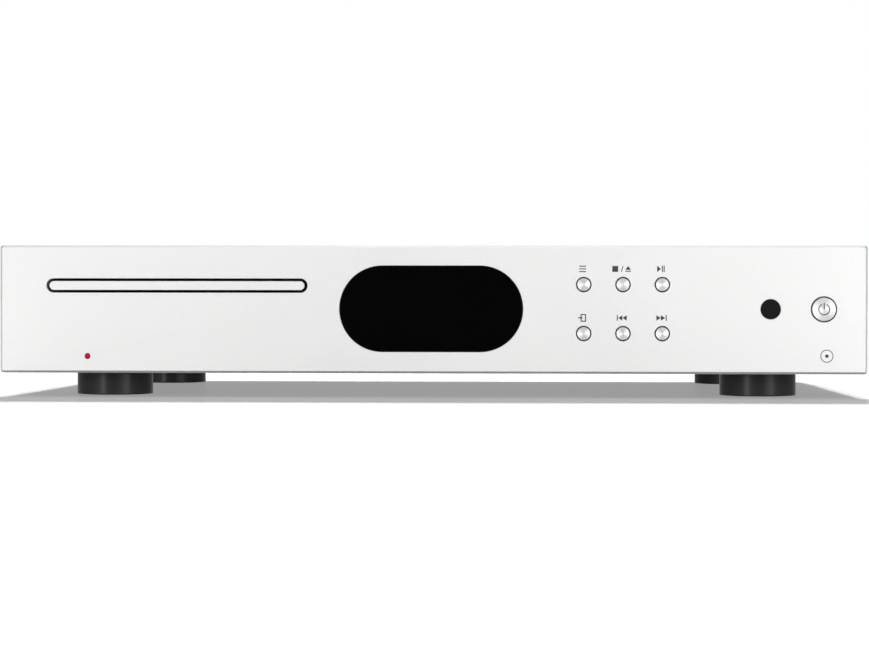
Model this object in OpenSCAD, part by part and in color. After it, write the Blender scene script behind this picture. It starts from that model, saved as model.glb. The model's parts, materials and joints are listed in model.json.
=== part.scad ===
/* [Overall] */
// Width of the front panel
panel_w = 444.4; // [440:0.2:450]
// Height of the front panel
panel_h = 65.6; // [65:0.1:67]
// Thickness of the front panel's plate
panel_t = 8; // [6:0.5:10]
// Radius of the front panel's corners
panel_r = 1.7; // [1:0.1:3]
// Height of the panel's lower edge above the floor
panel_lift = 12.4; // [12:0.1:14]
// Depth from the power button's face to the end of the rear sockets
overall_d = 317; // [314:1:330]

/* [Case] */
// Width of the top cover
cover_w = 438; // [436:1:439]
// Thickness of the folded steel sheets
sheet = 1.2; // [1:0.1:1.5]
// Diameter of a foot
foot_d = 40; // [30:1:44]
// Distance between the left and right feet
foot_span_x = 341; // [330:1:350]
// Distance between the front and rear feet
foot_span_y = 217; // [200:1:230]

/* [Front panel features] */
// Left to right place of the disc drawer's centre
tray_x = -130.8; // [-132:0.1:-130]
// Height of the drawer slot's centre above the panel's lower edge
slot_rise = 44.85; // [44.7:0.05:45.1]
// Width of the drawer slot
slot_w = 134.8; // [134:0.1:135]
// Height of the drawer slot
slot_h = 7.3; // [7:0.1:7.4]
// Width of the drawer's front strip
trim_w = 131.5; // [131:0.1:132]
// Height of the drawer's front strip
trim_h = 4.5; // [4.3:0.1:4.8]
// Width of the display window
window_w = 94.2; // [90:0.2:96]
// Height of the display window
window_h = 44.3; // [40:0.1:46]
// Diameter of the six small button holes
key_hole_d = 7.9; // [7.5:0.1:8.5]
// Diameter of the six small buttons
key_d = 6.6; // [6.4:0.1:7]
// Diameter of the power button's hole
power_hole_d = 13.3; // [13:0.1:14]
// Diameter of the power button
power_d = 11.9; // [11.5:0.1:12.4]
// Distance that the power button stands proud of the panel
power_proud = 1; // [0.5:0.1:1.5]
// Diameter of the remote sensor's window
sensor_d = 10.4; // [9:0.1:11]
// Diameter of the standby lamp
lamp_d = 3; // [2.5:0.1:4]

/* [Disc drawer] */
// Thickness of the disc tray
tray_h = 4.8; // [4.6:0.1:5]
// Distance that the drawer travels
tray_travel = 135; // [130:1:135]
// Diameter of the disc recess
recess_d = 121; // [121:0.5:122]
// Depth of the disc recess
recess_depth = 2; // [1.5:0.1:2.4]
// Distance that the disc mechanism lifts
lift_travel = 7; // [6:0.5:7]
// Distance that the pickup travels
sled_travel = 35; // [30:1:35]
// Teeth on the drawer's drive gear
drive_teeth = 18; // [18:1:18]
// Teeth on the drive gear's lower wheel
wheel_teeth = 36; // [36:1:36]
// Teeth on the pulley's pinion and on the feed motor's pinion
pinion_teeth = 12; // [12:1:12]

/* [Hidden] */
$fn = 64;
eps = 0.5;             // overlap that merges two parts of one solid
case_gap = 0.15;       // clearance between folded sheets
run_gap = 0.05;        // radial clearance of a turning fit
screw_d = 3;           // shanks of the case and loader screws
screw_hole_d = 3.2;
screw_recess = 0.9;

// levels from the floor up
base_z = panel_lift + 1.6;
pan_top = base_z + sheet;
row_z = panel_lift + 33.1;    // centres of the window, the sensor and the power button
cover_top = panel_lift + panel_h - 1;

// planes from front to rear
front_y = -overall_d / 2;
panel_y = front_y + power_proud;
panel_back = panel_y + panel_t;
subpanel_back = panel_back + sheet;
rear_y = overall_d / 2 - 8.5;
rear_in = rear_y - sheet;

// widths of the nested case parts
cover_in = cover_w / 2 - sheet;
pan_half = cover_in - case_gap;

// rows of small buttons and the symbols' columns
key_x = [78, 98, 118];
key_z = [panel_lift + 45.6, panel_lift + 20.6];
key_travel = 0.8;
power_x = 200;
power_travel = 1.5;
sensor_x = 173;
lamp_x = -176.9;
lamp_z = panel_lift + 8.55;
board_front = subpanel_back + 4.5;
board_back = board_front + 1.6;
switch_face = board_front - 2.1;
collar_t = 1;
collar_front = panel_back + 0.1;
collar_back = collar_front + collar_t;

// drawer
slot_z = panel_lift + slot_rise;
tray_z0 = slot_z + 0.05 - tray_h / 2;
tray_z1 = tray_z0 + tray_h;
tray_w = 128;
tray_left = tray_x - tray_w / 2;
tray_right = tray_x + tray_w / 2;
trim_t = 3;
disc_y = panel_y + 70.5;
tray_tail = disc_y + 112;
notch_w = 36;
slide_gap = 0.3;

// gears: stub teeth with a 25 degree pressure angle
pressure = 25;
addendum = 0.8;
dedendum = 1.05;
tooth_slack = 0.16;
rack_m = 1;
train_m = 0.8;
rack_tip_x = tray_right - 0.5;
drive_r = drive_teeth * rack_m / 2;
drive_x = rack_tip_x - addendum * rack_m + drive_r;
drive_y = disc_y - 35;
drive_lead = 60;
drive_centres = (wheel_teeth + pinion_teeth) * train_m / 2;
pulley_x = drive_x + drive_centres * cos(drive_lead);
pulley_y = drive_y + drive_centres * sin(drive_lead);
belt_span = 34;
motor_x = pulley_x + belt_span;
pulley_r = 12;
motor_pulley_r = 3;
belt_t = 1.2;
belt_z = tray_z0 - 4.5;
deck_z = tray_z0 - 14.9;
deck_t = 2.5;
wheel_z = deck_z + 1.8 + deck_t;
wheel_t = 3;

// lifting disc mechanism, lowered
sub_z = tray_z0 - 11.9;
sub_t = 2;
sub_half = 48;
sub_y0 = disc_y - 25;
sub_y1 = disc_y + 85;
shelf_z = sub_z - 9.5;
shelf_t = 2;
table_d = 29;
table_z = sub_z + 10.3;
lens_y = disc_y + 23;
feed_teeth = 14;
feed_wheel_teeth = 30;
feed_pinion_teeth = 10;
feed_r = feed_teeth * train_m / 2;
sled_half = 17;
sled_tip_x = tray_x + sled_half + 2.3;
feed_x = sled_tip_x - addendum * train_m + feed_r;
feed_y = disc_y + 43;
feed_centres = (feed_wheel_teeth + feed_pinion_teeth) * train_m / 2;
feed_wheel_z = shelf_z + shelf_t + 0.6;
feed_motor_x = feed_x + feed_centres;
cam_y = sub_y0 - 6;
cam_t = 2.5;
cam_pin_d = 3;
cam_pin_z = sub_z - 4;
cam_ratio = 2;

// loader frame
frame_left = tray_left - slide_gap - 2.5;
frame_right = tray_right + slide_gap + 2.5;
frame_y0 = panel_back + 3.5;
frame_y1 = tray_tail + 10.5;
frame_z = shelf_z - 3.5;
frame_t = 3;
frame_top = tray_z1 + 2.3;
bridge_t = 1.2;

// a box between two corners
module block(x0, x1, y0, y1, z0, z1) translate([x0, y0, z0]) cube([x1 - x0, y1 - y0, z1 - z0]);

// a flat outline seen from the front, given depth from y0 back to y1
module depth(y0, y1) translate([0, y1, 0]) rotate([90, 0, 0]) linear_extrude(y1 - y0) children();

// a flat outline seen from above, given height from z0 up to z1
module rise(z0, z1) translate([0, 0, z0]) linear_extrude(z1 - z0) children();

module bar_y(x, z, y0, y1, d) depth(y0, y1) translate([x, z]) circle(d = d);
module bar_z(x, y, z0, z1, d) rise(z0, z1) translate([x, y]) circle(d = d);

// a stadium that lies along X
module pill(w, h) {
  square([w - h, h], center = true);
  for (s = [-1, 1]) translate([s * (w - h) / 2, 0]) circle(d = h);
}

// a rectangle with round corners
module rounded(w, h, r) {
  square([w - 2 * r, h], center = true);
  square([w, h - 2 * r], center = true);
  for (sx = [-1, 1], sy = [-1, 1]) translate([sx * (w / 2 - r), sy * (h / 2 - r)]) circle(r = r);
}

// children at the four corners of a rectangle around the origin
module at_corners(dx, dy) for (sx = [-1, 1], sy = [-1, 1]) translate([sx * dx, sy * dy, 0]) children();

// a screw head that stands on z = 0, with a cross-shaped recess
module pan_head(d, h) difference() {
  cylinder(d = d, h = h);
  for (a = [0, 90]) rotate(a) translate([0, 0, h - screw_recess / 2 + eps / 2])
    cube([0.64 * d, 0.15 * d, screw_recess + eps], center = true);
}

// a screw along Z whose head stands on z = 0 and whose shank reaches down
module screw(head_d, head_h, shank_d, reach) {
  pan_head(head_d, head_h);
  translate([0, 0, -reach]) cylinder(d = shank_d, h = reach + eps);
}

function polar(r, a) = [r * cos(a), r * sin(a)];
function involute(a) = tan(a) * 180 / PI - a;

// half the angle that a tooth spans at radius r
function tooth_half(n, m, r) =
  90 / n - tooth_slack / (n * m) * 180 / PI + involute(pressure)
  - involute(acos(min(1, n * m / 2 * cos(pressure) / r)));

function tooth_points(n, m, a) =
  let (mid = n * m / 2, foot = mid - dedendum * m, tip = mid + addendum * m,
       start = max(mid * cos(pressure), foot + 0.02))
  concat(
    [polar(foot, a - tooth_half(n, m, start))],
    [for (i = [0:3]) let (r = start + (tip - start) * i / 3) polar(r, a - tooth_half(n, m, r))],
    [for (i = [3:-1:0]) let (r = start + (tip - start) * i / 3) polar(r, a + tooth_half(n, m, r))],
    [polar(foot, a + tooth_half(n, m, start))]);

// a spur gear with one tooth centred on the angle turn
module gear(n, m, turn = 0) polygon([for (i = [0:n - 1]) each tooth_points(n, m, turn + i * 360 / n)]);

// a gear that has a gap, not a tooth, centred on the angle turn
module gear_gap(n, m, turn) gear(n, m, turn + 180 / n);

// a rack along Y with its tooth tips on x = 0, facing +X, and a tooth centred on y = 0
module rack(m, first, last, back) {
  pitch = PI * m;
  half = pitch / 4 - tooth_slack / 2;
  root = half + tan(pressure) * dedendum * m;
  tip = half - tan(pressure) * addendum * m;
  deep = -(addendum + dedendum) * m;
  polygon(concat(
    [[deep - back, first * pitch - root - 1], [deep, first * pitch - root - 1]],
    [for (i = [first:last]) each [[deep, i * pitch - root], [0, i * pitch - tip],
                                   [0, i * pitch + tip], [deep, i * pitch + root]]],
    [[deep, last * pitch + root + 1], [deep - back, last * pitch + root + 1]]));
}

// front panel: a thick plate with every opening cut square through it
module fascia() color("gainsboro") difference() {
  depth(panel_y, panel_back) translate([0, panel_lift + panel_h / 2]) rounded(panel_w, panel_h, panel_r);
  depth(panel_y - eps, panel_back + eps) {
    translate([tray_x, slot_z]) pill(slot_w, slot_h);
    translate([0, row_z]) pill(window_w - 5, window_h - 5);
    for (x = key_x, z = key_z) translate([x, z]) circle(d = key_hole_d);
    translate([sensor_x, row_z]) circle(d = sensor_d - 1.6);
    translate([power_x, row_z]) circle(d = power_hole_d);
    translate([lamp_x, lamp_z]) circle(d = lamp_d);
  }
  depth(panel_y - eps, panel_y + 3) translate([0, row_z]) pill(window_w, window_h);
  depth(panel_y - eps, panel_y + 3) translate([sensor_x, row_z]) circle(d = sensor_d);
  for (p = panel_screws) bar_y(p[0], p[1], panel_back - panel_screw_reach, panel_back + eps, screw_hole_d);
}

module display_window() color([0.05, 0.05, 0.06])
  depth(panel_y + 0.2, panel_y + 3) translate([0, row_z]) pill(window_w - 0.2, window_h - 0.2);

module sensor_window() color([0.06, 0.05, 0.06])
  depth(panel_y + 0.2, panel_y + 3) translate([sensor_x, row_z]) circle(d = sensor_d - 0.1);

module lamp_lens() color("red") {
  bar_y(lamp_x, lamp_z, panel_y + 0.1, panel_back, lamp_d);
  bar_y(lamp_x, lamp_z, panel_back, panel_back + 1, lamp_d + 1.6);
}

// a small button: a turned cap, a stem and a collar that stops against the panel's back
module key(x, z) color("silver") {
  bar_y(x, z, panel_y - 0.2, collar_back, key_d);
  bar_y(x, z, collar_front, collar_back, key_hole_d + 2);
  bar_y(x, z, collar_back - collar_t / 2, switch_face - key_travel, 4);
}

module button_menu() key(key_x[0], key_z[0]);
module button_stop_eject() key(key_x[1], key_z[0]);
module button_play_pause() key(key_x[2], key_z[0]);
module button_input() key(key_x[0], key_z[1]);
module button_previous() key(key_x[1], key_z[1]);
module button_next() key(key_x[2], key_z[1]);

module power_button() color("silver") {
  bar_y(power_x, row_z, front_y, collar_back, power_d);
  bar_y(power_x, row_z, collar_front, collar_back, power_hole_d + 3);
  bar_y(power_x, row_z, collar_back - collar_t / 2, switch_face - power_travel, 5);
}

// folded sheet behind the front panel that carries it and the front board
module front_subpanel() color("darkgray") difference() {
  union() {
    block(-pan_half + 1, pan_half - 1, panel_back, subpanel_back, pan_top, cover_top - sheet - case_gap);
    block(-pan_half + 1, pan_half - 1, panel_back, panel_back + 6, pan_top, pan_top + sheet);
  }
  depth(panel_back - eps, subpanel_back + eps) {
    translate([tray_x, slot_z + 1]) square([slot_w + 6, slot_h + 8], center = true);
    translate([0, row_z]) pill(window_w - 5, window_h - 5);
    for (x = key_x, z = key_z) translate([x, z]) circle(d = key_hole_d + 4);
    translate([sensor_x, row_z]) circle(d = sensor_d);
    translate([power_x, row_z]) circle(d = power_hole_d + 5);
    translate([lamp_x, lamp_z]) circle(d = lamp_d + 3);
    for (p = panel_screws) translate(p) circle(d = screw_hole_d);
  }
  pan_screw_holes();
}

// screws that hold the front panel to its carrier, and the carrier and the rear panel to the pan
panel_screws = [for (x = [-212, 212], z = [-10, 10]) [x, row_z + z]];
panel_screw_reach = 4.5;
pan_screws = [for (x = [-190, 0, 190], y = [panel_back + 4.5, rear_in - 4.5]) [x, y]];
module pan_screw_holes() for (p = pan_screws) bar_z(p[0], p[1], base_z - eps, pan_top + 2, screw_hole_d);

standoffs = [[15, 10], [205, 10], [15, 138], [205, 138], [-88, 62], [-10, 62], [-88, 138], [-10, 138]];
board_z = pan_top + 8;
module bottom_pan() color("dimgray") difference() {
  union() {
    block(-pan_half, pan_half, panel_back, rear_in, base_z, pan_top);
    for (s = [-1, 1]) translate([s * (pan_half - sheet / 2), 0, 0])
      block(-sheet / 2, sheet / 2, subpanel_back + 9, rear_in, base_z, base_z + 14);
    for (p = standoffs) bar_z(p[0], p[1], pan_top - sheet / 2, board_z, 6);
    for (p = frame_posts) bar_z(p[0], p[1], pan_top - sheet / 2, p[2], 8);
  }
  for (sx = [-1, 1], sy = [-1, 1])
    bar_z(sx * foot_span_x / 2, sy * foot_span_y / 2, base_z - eps, pan_top + eps, 4.2);
  pan_screw_holes();
  for (i = [0:6], j = [0:1]) rise(base_z - eps, pan_top + eps)
    translate([60 + i * 14, 40 + j * 40]) rotate(90) pill(28, 4.5);
}

// cover: top, two sides and a short lip over the rear panel, with two rows of vents
vent_x = [for (i = [0:13]) 45 + i * 11];
module top_cover() color("gainsboro") difference() {
  union() {
    block(-cover_w / 2, cover_w / 2, panel_back, rear_y, cover_top - sheet, cover_top);
    for (s = [-1, 1]) translate([s * (cover_w - sheet) / 2, 0, 0])
      block(-sheet / 2, sheet / 2, panel_back, rear_y, base_z, cover_top);
    block(-cover_w / 2, cover_w / 2, rear_y, rear_y + sheet, cover_top - 9, cover_top);
  }
  for (x = vent_x, y = [35, 85]) rise(cover_top - sheet - eps, cover_top + eps)
    translate([x, y]) rotate(90) pill(38, 4.5);
  for (s = [-1, 1], y = side_screw_y) translate([s * cover_w / 2, y, side_screw_z])
    rotate([0, 90, 0]) cylinder(d = screw_hole_d, h = 6, center = true);
  for (x = lip_screw_x) bar_y(x, lip_screw_z, rear_y - eps, rear_y + sheet + eps, screw_hole_d);
}

side_screw_y = [-90, 90];
side_screw_z = base_z + 8;
lip_screw_x = [-200, 0, 200];
lip_screw_z = cover_top - 5;
case_head_d = 6;
case_head_h = 1.6;
module case_screws() color("silver") {
  for (s = [-1, 1], y = side_screw_y) translate([s * cover_w / 2, y, side_screw_z])
    rotate([0, s * 90, 0]) screw(case_head_d, case_head_h, screw_d, sheet + case_gap);
  for (x = lip_screw_x) translate([x, rear_y + sheet, lip_screw_z])
    rotate([-90, 0, 0]) screw(case_head_d, case_head_h, screw_d, 2 * sheet);
  for (p = panel_screws) translate([p[0], subpanel_back, p[1]])
    rotate([-90, 0, 0]) screw(case_head_d, case_head_h, screw_d, sheet + panel_screw_reach - 0.5);
  for (p = pan_screws) translate([p[0], p[1], base_z])
    rotate([180, 0, 0]) screw(case_head_d, case_head_h, screw_d, 2 * sheet + 1);
}

// turned foot with a recess for its pad and a counterbore for its screw
foot_z = 0.2;
foot_seat_z = 7;
pad_t = 1.2;
module foot(sx, sy) color([0.18, 0.18, 0.19])
  translate([sx * foot_span_x / 2, sy * foot_span_y / 2, 0]) rotate_extrude() polygon([
    [2.1, base_z], [2.1, foot_seat_z], [4.6, foot_seat_z], [4.6, pad_t],
    [foot_d / 2 - 3, pad_t], [foot_d / 2 - 3, foot_z], [foot_d / 2 - 0.8, foot_z], [foot_d / 2, foot_z + 0.8],
    [foot_d / 2, base_z - 0.5], [foot_d / 2 - 0.5, base_z]
  ]);

module foot_front_left() foot(-1, -1);
module foot_front_right() foot(1, -1);
module foot_rear_left() foot(-1, 1);
module foot_rear_right() foot(1, 1);

module foot_pads() color([0.08, 0.08, 0.08]) at_corners(foot_span_x / 2, foot_span_y / 2)
  difference() {
    cylinder(d = foot_d - 7, h = pad_t);
    translate([0, 0, -eps]) cylinder(d = 12, h = pad_t + 2 * eps);
  }

module foot_screws() color("silver") at_corners(foot_span_x / 2, foot_span_y / 2) {
  translate([0, 0, foot_seat_z]) rotate([180, 0, 0]) screw(8, 3, 4, pan_top + 4 - foot_seat_z);
  translate([0, 0, pan_top]) cylinder(d = 8, h = 3, $fn = 6);
}

// display: a flat module in a plastic case behind the window
module display_module() color([0.1, 0.12, 0.12]) {
  depth(panel_y + 3, panel_back + 1) translate([0, row_z]) pill(window_w - 5.4, window_h - 5.4);
  block(-52, 52, subpanel_back, subpanel_back + 8, row_z - 24, row_z + 24);
  block(-50, 50, subpanel_back + 8, subpanel_back + 9.6, row_z - 22, row_z + 22);
}

module tact_switch(x, z) translate([x, 0, z]) {
  block(-3, 3, board_front - 1.4, board_front, -3, 3);
  bar_y(0, 0, board_front - 2, board_front - 1.3, 3);
}

// boards behind the panel: the button board with its switches and sensor, and the lamp's board
module front_board() color("darkgreen") {
  difference() {
    block(62, 212, board_front, board_back, pan_top + 5, cover_top - 6);
    for (x = [66, 208], z = [pan_top + 9, cover_top - 10])
      bar_y(x, z, board_front - 1, board_back + 1, screw_hole_d);
  }
  for (x = [66, 208], z = [pan_top + 9, cover_top - 10]) difference() {
    bar_y(x, z, subpanel_back, board_front, 6);
    bar_y(x, z, subpanel_back - 1, board_front + 1, screw_hole_d);
  }
  for (x = key_x, z = key_z) tact_switch(x, z);
  tact_switch(power_x, row_z);
  block(sensor_x - 3.5, sensor_x + 3.5, subpanel_back + 0.5, board_front, row_z - 4, row_z + 4);
  block(150, 166, board_back, board_back + 5, pan_top + 8, pan_top + 14);
  block(lamp_x - 9, lamp_x + 9, subpanel_back, subpanel_back + 1.6, lamp_z - 3.5, lamp_z + 5);
  bar_y(lamp_x, lamp_z, panel_back + 1, subpanel_back + 0.5, 2.6);
}

// rear panel: a plate between the pan and the cover, with a hole for each socket
inlet_x = -178;
inlet_z = 49;
switch_x = -135;
switch_z = 46;
coax_x = 60;
optical_x = 92;
usb_x = 124;
jack_x = [160, 182];
socket_z = 40;
conn_end = overall_d / 2;
fuse_w = 22;
fuse_h = 6.5;
fuse_z = inlet_z - 16.5;
module rear_panel() color("gainsboro") difference() {
  union() {
    block(-pan_half, pan_half, rear_in, rear_y, pan_top, cover_top - sheet - case_gap);
    block(-pan_half + 2, pan_half - 2, rear_in - 6, rear_in + 0.1, pan_top, pan_top + sheet);
  }
  depth(rear_in - eps, rear_y + eps) {
    translate([inlet_x, inlet_z - 4]) square([27.4, 33.4], center = true);
    translate([switch_x, switch_z]) square([13.4, 19.4], center = true);
    translate([coax_x, socket_z]) circle(d = 9.4);
    translate([optical_x, socket_z]) square([10.2, 10.2], center = true);
    translate([usb_x, socket_z]) square([13.6, 6.2], center = true);
    for (x = jack_x) translate([x, socket_z]) circle(d = 6.2);
    for (x = lip_screw_x) translate([x, lip_screw_z]) circle(d = screw_hole_d);
  }
  for (x = [-90 : 10 : 20]) depth(rear_in - eps, rear_y + eps)
    translate([x, 44]) rotate(90) pill(26, 4.5);
  pan_screw_holes();
}

// mains inlet: three blades in a deep socket, with a fuse drawer under it
module mains_inlet() color([0.1, 0.1, 0.1]) {
  difference() {
    union() {
      depth(rear_y - 24, rear_y + 3) translate([inlet_x, inlet_z - 4]) square([27, 33], center = true);
      depth(rear_y, rear_y + 3) translate([inlet_x, inlet_z - 4]) rounded(36, 37, 2);
    }
    depth(rear_y - 17, rear_y + 4) translate([inlet_x, inlet_z]) rounded(24, 16.5, 2.5);
    block(inlet_x - fuse_w / 2 - 0.2, inlet_x + fuse_w / 2 + 0.2, rear_y - 21, rear_y + 4,
          fuse_z - fuse_h / 2 - 0.2, fuse_z + fuse_h / 2 + 0.2);
  }
  for (p = [[-7, -1.5], [7, -1.5], [0, 2.5]])
    translate([inlet_x + p[0], 0, inlet_z + p[1]]) block(-1, 1, rear_y - 25, rear_y - 3, -2, 2);
  for (x = [-5, 0, 5]) translate([inlet_x + x, 0, inlet_z])
    block(-0.5, 0.5, rear_y - 29, rear_y - 23.5, 4, 8);
}

module fuse_drawer() color([0.14, 0.14, 0.14]) difference() {
  union() {
    block(inlet_x - fuse_w / 2, inlet_x + fuse_w / 2, rear_y - 20, rear_y + 3,
          fuse_z - fuse_h / 2, fuse_z + fuse_h / 2);
    block(inlet_x - fuse_w / 2, inlet_x + fuse_w / 2, rear_y + 3, rear_y + 4.2,
          fuse_z - fuse_h / 2, fuse_z + fuse_h / 2);
  }
  block(inlet_x - fuse_w / 2 + 1, inlet_x + fuse_w / 2 - 1, rear_y - 18, rear_y - 12,
        fuse_z - 2, fuse_z + fuse_h);
  block(inlet_x - 4, inlet_x + 4, rear_y + 3.2, rear_y + 5, fuse_z - fuse_h, fuse_z - 2);
}

// rocker switch: a snap-in body and a rocker on a cross pin
rocker_w = 10;
rocker_h = 14;
module mains_switch() color([0.1, 0.1, 0.1]) difference() {
  union() {
    depth(rear_y - 20, rear_y + 1) translate([switch_x, switch_z]) square([13, 19], center = true);
    depth(rear_y, rear_y + 2) translate([switch_x, switch_z]) rounded(15.5, 21.5, 1);
    for (z = [-6, 0, 6]) translate([switch_x, 0, switch_z + z])
      block(-0.4, 0.4, rear_y - 26, rear_y - 19.5, -2.2, 2.2);
  }
  block(switch_x - rocker_w / 2 - 0.25, switch_x + rocker_w / 2 + 0.25, rear_y - 9.5, rear_y + 3,
        switch_z - rocker_h / 2 - 1.6, switch_z + rocker_h / 2 + 1.6);
  translate([switch_x, rear_y - 2, switch_z]) rotate([0, 90, 0]) cylinder(d = 2.1, h = 12.4, center = true);
}

module mains_rocker() color([0.13, 0.13, 0.13]) {
  translate([switch_x, 0, switch_z]) rotate([90, 0, 90]) translate([0, 0, -rocker_w / 2])
    linear_extrude(rocker_w) polygon([
      [rear_y + 3.2, rocker_h / 2], [rear_y + 0.2, 0], [rear_y + 0.8, -rocker_h / 2 + 0.3],
      [rear_y - 2, -rocker_h / 2 + 0.3], [rear_y - 5.5, 0], [rear_y - 2, rocker_h / 2 - 0.3]
    ]);
  translate([switch_x, rear_y - 2, switch_z]) rotate([0, 90, 0]) cylinder(d = 2, h = 12, center = true);
}

module coax_socket() color("goldenrod") difference() {
  union() {
    bar_y(coax_x, socket_z, rear_y - 12, conn_end, 8.3);
    bar_y(coax_x, socket_z, rear_y, rear_y + 1.5, 12);
    block(coax_x - 6, coax_x + 6, rear_y - 14, rear_in, board_top, socket_z + 6);
  }
  bar_y(coax_x, socket_z, conn_end - 9, conn_end + 1, 3.3);
}

module optical_socket() color([0.12, 0.12, 0.12]) difference() {
  union() {
    depth(rear_y - 12, rear_y + 0.8) translate([optical_x, socket_z]) square([9.8, 9.8], center = true);
    block(optical_x - 4.9, optical_x + 4.9, rear_y - 12, rear_in - 0.1, board_top, socket_z);
  }
  depth(rear_y - 10, rear_y + 2) translate([optical_x, socket_z]) square([6.4, 6.4], center = true);
  shutter_pin(1, 8.4);
}

// spring flap on a cross pin near its upper edge
shutter_pin_z = socket_z + 2.5;
module shutter_pin(d, w) translate([optical_x, rear_y - 0.8, shutter_pin_z])
  rotate([0, 90, 0]) cylinder(d = d, h = w, center = true);
module optical_shutter() color([0.16, 0.16, 0.16]) {
  block(optical_x - 3, optical_x + 3, rear_y - 1.2, rear_y - 0.4, socket_z - 3, socket_z + 2.9);
  shutter_pin(0.9, 8);
}

module usb_socket() color("silver") difference() {
  union() {
    depth(rear_y - 14, rear_y + 0.6) translate([usb_x, socket_z]) square([13.2, 5.8], center = true);
    block(usb_x - 6.6, usb_x + 6.6, rear_y - 14, rear_in - 0.1, board_top, socket_z);
  }
  difference() {
    depth(rear_y - 12, rear_y + 1) translate([usb_x, socket_z]) square([12.4, 5], center = true);
    block(usb_x - 5.5, usb_x + 5.5, rear_y - 13, rear_y - 5, socket_z - 0.2, socket_z + 1.6);
  }
}

module trigger_jacks() color([0.12, 0.12, 0.12]) for (x = jack_x) difference() {
  union() {
    bar_y(x, socket_z, rear_y - 4, rear_y + 2.4, 6);
    bar_y(x, socket_z, rear_y, rear_y + 2, 8.4);
    block(x - 4.5, x + 4.5, rear_y - 15, rear_in - 0.1, board_top, socket_z + 4.5);
  }
  bar_y(x, socket_z, rear_y - 12, rear_y + 3, 3.6);
}

// toroidal transformer under a round clamp plate
toroid = [-134, 75];
toroid_h = 34;
module transformer() color("sienna") translate([toroid[0], toroid[1], pan_top + 1])
  rotate_extrude() translate([24.5, toroid_h / 2]) rounded(23, toroid_h, 6);

module transformer_clamp() color("silver") translate([toroid[0], toroid[1], 0]) {
  translate([0, 0, pan_top]) cylinder(d = 54, h = 1);
  translate([0, 0, pan_top + 1 + toroid_h]) cylinder(d = 54, h = 2);
  translate([0, 0, pan_top + eps]) cylinder(d = 6, h = toroid_h + 6);
  translate([0, 0, pan_top + 3 + toroid_h]) cylinder(d = 11, h = 4, $fn = 6);
}

module board(x0, x1, y0, y1, holes) difference() {
  block(x0, x1, y0, y1, board_z, board_z + 1.6);
  for (p = holes) bar_z(p[0], p[1], board_z - 1, board_z + 3, screw_hole_d);
}
board_top = board_z + 1.6;

module psu_board() color("darkgreen")
  board(-94, -5, 57, 143, [for (i = [4:7]) standoffs[i]]);

module psu_parts() color([0.15, 0.15, 0.18]) {
  for (p = [[-80, 85], [-80, 112], [-54, 112]]) bar_z(p[0], p[1], board_top, board_top + 32, 22);
  for (p = [[-54, 92], [-40, 92], [-40, 78]]) bar_z(p[0], p[1], board_top, board_top + 16, 10);
  block(-32, -29, 85, 135, board_top, board_top + 34);
  for (y = [86 : 6 : 134]) block(-29.5, -19, y, y + 1.4, board_top, board_top + 34);
  block(-70, -52, 64, 76, board_top, board_top + 14);
}

module main_board() color("darkgreen")
  board(8, 212, 4, 146, [for (i = [0:3]) standoffs[i]]);

module main_board_parts() color([0.12, 0.12, 0.14]) {
  for (p = [[60, 60, 26], [120, 60, 20], [150, 95, 14], [95, 100, 12]])
    block(p[0], p[0] + p[2], p[1], p[1] + p[2], board_top, board_top + 2);
  block(35, 75, 22, 46, board_top, board_top + 9);
  for (i = [0:5]) bar_z(100 + i * 16, 24, board_top, board_top + 15, 9);
  for (i = [0:3]) bar_z(185, 55 + i * 16, board_top, board_top + 20, 12);
  block(20, 44, 110, 116, board_top, board_top + 8);
}

// flat ribbons to the front board and the loader, and the insulated mains leads
module ribbon(x, w, t, path) translate([x, 0, 0]) rotate([90, 0, 90]) translate([0, 0, -w / 2])
  linear_extrude(w) for (i = [0 : len(path) - 2]) segment(path[i], path[i + 1], t);
module segment(a, b, t) translate(a) rotate(atan2(b[1] - a[1], b[0] - a[0]))
  translate([-t / 2, -t / 2]) square([norm(b - a) + t, t]);
module wiring() color("dimgray") {
  ribbon(158, 14, 0.8, [[board_back + 5.5, pan_top + 11], [board_back + 14, pan_top + 11],
                        [board_back + 14, pan_top + 3], [0, pan_top + 3], [0, board_top + 4],
                        [8, board_top + 4], [8, board_top + 0.5]]);
  for (i = [0:2]) translate([switch_x, 0, switch_z]) ribbon(i * 3 - 3, 2, 2,
    [[rear_y - 27, i * 6 - 6], [rear_y - 29.5, i * 6 - 6], [rear_y - 29.5, -27 + i]]);
}

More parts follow.
